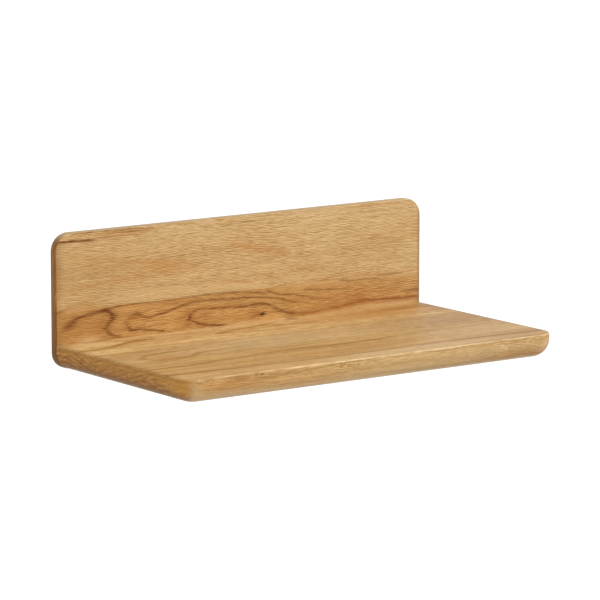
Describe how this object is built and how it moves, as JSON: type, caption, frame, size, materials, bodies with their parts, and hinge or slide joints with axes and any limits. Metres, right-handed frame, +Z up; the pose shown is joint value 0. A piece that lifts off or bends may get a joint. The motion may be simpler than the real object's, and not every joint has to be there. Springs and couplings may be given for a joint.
{
  "type": "wall shelf",
  "caption": "Solid oak wall shelf: a low back panel with rounded corners, a deep board with a softly rounded under-edge, and keyhole hangers let in flush behind.",
  "frame": {"origin": "on the wall plane, midway between the two keyhole entries", "axes": "+X along the shelf, to the right as seen from the front; +Y towards the wall; +Z up"},
  "size_m": [0.44, 0.234, 0.1325],
  "materials": {
    "oak_panel": "oiled, satin, fine open pores along X",
    "oak_heartwood": "oiled, satin, darker heartwood figure along X",
    "oak_board": "oiled, satin, grain along X",
    "beech": "plain sanded",
    "plate_steel": "zinc plated",
    "screw_steel": "yellow zinc plated"
  },
  "bodies": {
    "root": {"panel_top_strip": "oak_panel", "panel_middle_stave": "oak_panel", "panel_lower_stave": "oak_heartwood", "shelf_front_stave": "oak_board", "shelf_second_stave": "oak_board", "shelf_third_stave": "oak_board", "shelf_rear_stave": "oak_board", "joint_dowel_left": "beech", "joint_dowel_middle": "beech", "joint_dowel_right": "beech", "joint_screw_far_left": "screw_steel", "joint_screw_left": "screw_steel", "joint_screw_right": "screw_steel", "joint_screw_far_right": "screw_steel", "keyhole_plate_left": "plate_steel", "keyhole_plate_right": "plate_steel", "hanger_screw_left_upper": "screw_steel", "hanger_screw_left_lower": "screw_steel", "hanger_screw_right_upper": "screw_steel", "hanger_screw_right_lower": "screw_steel"}
  },
  "joints": []
}
